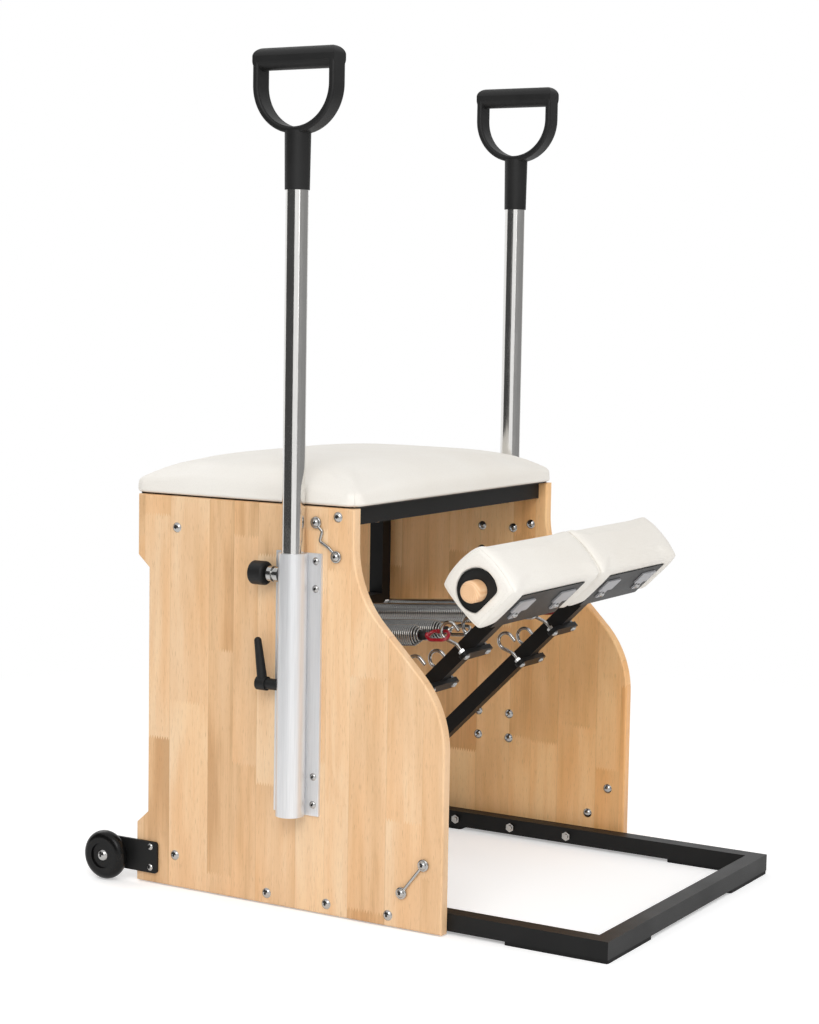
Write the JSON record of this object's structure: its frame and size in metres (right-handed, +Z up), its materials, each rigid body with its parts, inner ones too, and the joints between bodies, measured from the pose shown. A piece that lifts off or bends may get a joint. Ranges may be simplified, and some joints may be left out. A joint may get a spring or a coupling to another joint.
{
  "type": "pilates chair",
  "caption": "Wooden pilates chair with a padded seat, split sprung foot pedals on a low steel base, sliding D-grip handles and tilt wheels.",
  "frame": {"origin": "floor, under the middle of the whole chair's width and depth", "axes": "+Z up, +Y to the back where the tilt wheels are, -Y to the front where the pedals are, +X to the right seen from the front"},
  "size_m": [0.675, 0.8495, 1.211],
  "materials": {
    "wood_panel": "satin lacquer over finger-jointed staves",
    "seat_board": "dark plywood",
    "leather": "cream, fine grain, low sheen",
    "black_steel": "black powder coat",
    "rubber": "matte black",
    "bright_steel": "plated",
    "spring_steel": "plated spring wire",
    "snap_hook_red": "red coated steel",
    "black_plastic": "matte black moulding",
    "grey_plastic": "grey moulding",
    "bush_bronze": "sintered bronze",
    "dowel_wood": "pale smooth hardwood",
    "sleeve_aluminium": "satin extrusion",
    "pole_steel": "polished stainless tube",
    "wheel_black": "glossy black"
  },
  "bodies": {
    "chassis": {"left_side_panel": "wood_panel", "right_side_panel": "wood_panel", "seat_board": "seat_board", "seat_cushion": "leather", "left_base_rail": "black_steel", "right_base_rail": "black_steel", "base_crossbars": "black_steel", "rear_posts": "black_steel", "seat_crossbars": "black_steel", "spring_anchor_bar": "black_steel", "spring_anchor_eyes": "bright_steel", "foot_pads": "rubber", "pivot_shaft": "bright_steel", "pivot_blocks": "black_steel", "shaft_collars": "bright_steel", "panel_bolts": "bright_steel", "left_handle_sleeve": "sleeve_aluminium", "right_handle_sleeve": "sleeve_aluminium", "sleeve_bolts": "bright_steel", "wheel_brackets": "black_steel", "wheel_fasteners": "bright_steel", "strap_anchor_wires": "bright_steel", "strap_anchor_bolts": "bright_steel", "seat_screws": "bright_steel", "pin_collars": "bright_steel"},
    "left_pedal": {"left_pedal_pad": "leather", "left_pedal_core": "black_plastic", "left_pedal_bracket": "black_steel", "left_pedal_clips": "grey_plastic", "left_pedal_arm": "black_steel", "left_pivot_bushes": "bush_bronze", "left_spring_hooks": "bright_steel", "left_pedal_fasteners": "bright_steel"},
    "left_spring_link": {"left_spring_coils": "spring_steel", "left_spring_tails": "bright_steel"},
    "left_snap_link": {"left_spring_plugs": "black_plastic", "left_snap_hooks": "snap_hook_red"},
    "left_handle": {"left_handle_pole": "pole_steel", "left_handle_grip": "black_plastic"},
    "left_pull_pin": {"left_pull_pin": "black_plastic"},
    "left_clamp_lever": {"left_clamp_lever": "black_plastic"},
    "left_wheel": {"left_wheel": "wheel_black"},
    "right_pedal": {"right_pedal_pad": "leather", "right_pedal_core": "black_plastic", "right_pedal_bracket": "black_steel", "right_pedal_clips": "grey_plastic", "right_pedal_arm": "black_steel", "right_pivot_bushes": "bush_bronze", "right_spring_hooks": "bright_steel", "right_pedal_fasteners": "bright_steel"},
    "right_spring_link": {"right_spring_coils": "spring_steel", "right_spring_tails": "bright_steel"},
    "right_snap_link": {"right_spring_plugs": "black_plastic", "right_snap_hooks": "snap_hook_red"},
    "right_handle": {"right_handle_pole": "pole_steel", "right_handle_grip": "black_plastic"},
    "right_pull_pin": {"right_pull_pin": "black_plastic"},
    "right_clamp_lever": {"right_clamp_lever": "black_plastic"},
    "right_wheel": {"right_wheel": "wheel_black"},
    "pedal_dowel": {"pedal_dowel": "dowel_wood"}
  },
  "joints": [
    {"name": "left_pedal_swing", "type": "hinge", "parent": "chassis", "child": "left_pedal", "pos_m": [0, 0.19925, 0.058], "axis": [1, 0, 0], "range_deg": [0, 42], "stiffness_Nm_per_rad": 45, "springref_deg": -34.38},
    {"name": "left_spring_tilt", "type": "hinge", "parent": "chassis", "child": "left_spring_link", "pos_m": [0, 0.23025, 0.368], "axis": [1, 0, 0], "range_deg": [0, 33.15]},
    {"name": "left_spring_stretch", "type": "slide", "parent": "left_spring_link", "child": "left_snap_link", "axis": [0, -0.9968, 0.08], "range_m": [0, 0.22052], "deforming": ["left_spring_coils"]},
    {"name": "left_handle_slide", "type": "slide", "parent": "chassis", "child": "left_handle", "axis": [0, 0, 1], "range_m": [-0.1, 0.15]},
    {"name": "left_pin_slide", "type": "slide", "parent": "chassis", "child": "left_pull_pin", "axis": [0, -1, 0], "range_m": [0, 0.004]},
    {"name": "left_clamp_turn", "type": "hinge", "parent": "chassis", "child": "left_clamp_lever", "pos_m": [-0.317, 0.07825, 0.326], "axis": [0, -1, 0], "range_deg": [0, 180]},
    {"name": "left_wheel_spin", "type": "hinge", "parent": "chassis", "child": "left_wheel", "pos_m": [-0.298, 0.38825, 0.0373], "axis": [1, 0, 0], "continuous": true},
    {"name": "right_pedal_swing", "type": "hinge", "parent": "chassis", "child": "right_pedal", "pos_m": [0, 0.19925, 0.058], "axis": [1, 0, 0], "range_deg": [0, 42], "stiffness_Nm_per_rad": 45, "springref_deg": -34.38},
    {"name": "right_spring_tilt", "type": "hinge", "parent": "chassis", "child": "right_spring_link", "pos_m": [0, 0.23025, 0.368], "axis": [1, 0, 0], "range_deg": [0, 33.15]},
    {"name": "right_spring_stretch", "type": "slide", "parent": "right_spring_link", "child": "right_snap_link", "axis": [0, -0.9968, 0.08], "range_m": [0, 0.22052], "deforming": ["right_spring_coils"]},
    {"name": "right_handle_slide", "type": "slide", "parent": "chassis", "child": "right_handle", "axis": [0, 0, 1], "range_m": [-0.1, 0.15]},
    {"name": "right_pin_slide", "type": "slide", "parent": "chassis", "child": "right_pull_pin", "axis": [0, -1, 0], "range_m": [0, 0.004]},
    {"name": "right_clamp_turn", "type": "hinge", "parent": "chassis", "child": "right_clamp_lever", "pos_m": [0.317, 0.07825, 0.326], "axis": [0, 1, 0], "range_deg": [0, 180]},
    {"name": "right_wheel_spin", "type": "hinge", "parent": "chassis", "child": "right_wheel", "pos_m": [0.298, 0.38825, 0.0373], "axis": [1, 0, 0], "continuous": true},
    {"name": "dowel_slide", "type": "slide", "parent": "left_pedal", "child": "pedal_dowel", "axis": [1, 0, 0], "range_m": [0, 0.125]}
  ],
  "couplings": [
    {"joint": "left_spring_tilt", "follows": "left_pedal_swing", "ratio": 0.788},
    {"joint": "left_spring_stretch", "follows": "left_pedal_swing", "m_per_rad": 0.30056},
    {"joint": "right_spring_tilt", "follows": "right_pedal_swing", "ratio": 0.788},
    {"joint": "right_spring_stretch", "follows": "right_pedal_swing", "m_per_rad": 0.30056}
  ]
}
